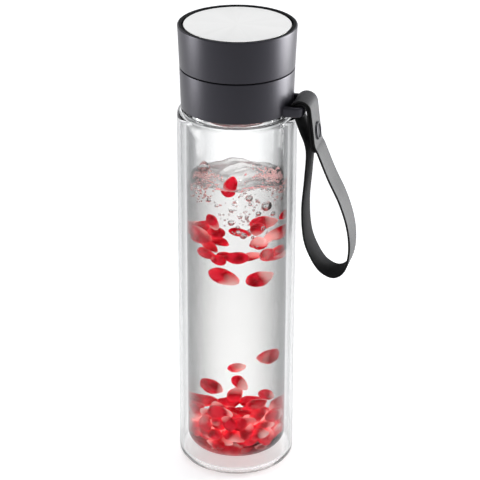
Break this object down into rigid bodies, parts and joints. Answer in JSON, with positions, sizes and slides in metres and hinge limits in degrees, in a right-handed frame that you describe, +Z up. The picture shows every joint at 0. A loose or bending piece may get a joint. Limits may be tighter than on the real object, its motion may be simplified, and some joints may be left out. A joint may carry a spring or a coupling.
{
  "type": "infuser water bottle",
  "caption": "Slim double-walled glass infuser bottle with a screw collar, hanging strainer, disc-topped screw cap and a swinging strap on a lug.",
  "frame": {"origin": "centre of the flat outer face of the glass base", "axes": "+Z up along the bottle's axis, +X from the axis through the lug and the strap"},
  "size_m": [0.0995, 0.066, 0.2629],
  "materials": {
    "clear_glass": "polished clear borosilicate",
    "anthracite_plastic": "satin moulded",
    "black_plastic": "plain moulded",
    "silicone": "translucent matte",
    "spun_steel": "spun brushed",
    "sheet_steel": "perforated sheet, satin",
    "faux_leather": "fine grain, black edges",
    "black_nickel": "dark plated"
  },
  "bodies": {
    "bottle": {"outer_glass": "clear_glass", "inner_glass": "clear_glass"},
    "collar_ring": {"collar_seal": "silicone"},
    "collar": {"collar_shell": "anthracite_plastic", "collar_insert": "black_plastic"},
    "strainer": {"strainer_basket": "sheet_steel"},
    "cap_ring": {"cap_seal": "silicone"},
    "cap": {"cap_shell": "anthracite_plastic", "cap_liner": "black_plastic", "steel_disc": "spun_steel"},
    "strap": {"strap": "faux_leather", "rivet_cap": "black_nickel", "rivet_base": "black_nickel"}
  },
  "joints": [
    {"name": "collar_rise", "type": "slide", "parent": "bottle", "child": "collar_ring", "axis": [0, 0, 1], "range_m": [0, 0.0181]},
    {"name": "collar_turn", "type": "hinge", "parent": "collar_ring", "child": "collar", "pos_m": [0, 0, 0.216], "axis": [0, 0, 1], "range_deg": [0, 1080]},
    {"name": "strainer_lift", "type": "slide", "parent": "collar", "child": "strainer", "axis": [0, 0, 1], "range_m": [0, 0.034]},
    {"name": "cap_rise", "type": "slide", "parent": "strainer", "child": "cap_ring", "axis": [0, 0, 1], "range_m": [0, 0.0151]},
    {"name": "cap_turn", "type": "hinge", "parent": "cap_ring", "child": "cap", "pos_m": [0, 0, 0.2394], "axis": [0, 0, 1], "range_deg": [0, 900]},
    {"name": "strap_swing", "type": "hinge", "parent": "collar", "child": "strap", "pos_m": [0.03733, 0, 0.21885], "axis": [0, -1, 0], "range_deg": [0, 150]}
  ],
  "couplings": [
    {"joint": "collar_rise", "follows": "collar_turn", "m_per_rad": 0.00095493},
    {"joint": "cap_rise", "follows": "cap_turn", "m_per_rad": 0.00095493}
  ]
}
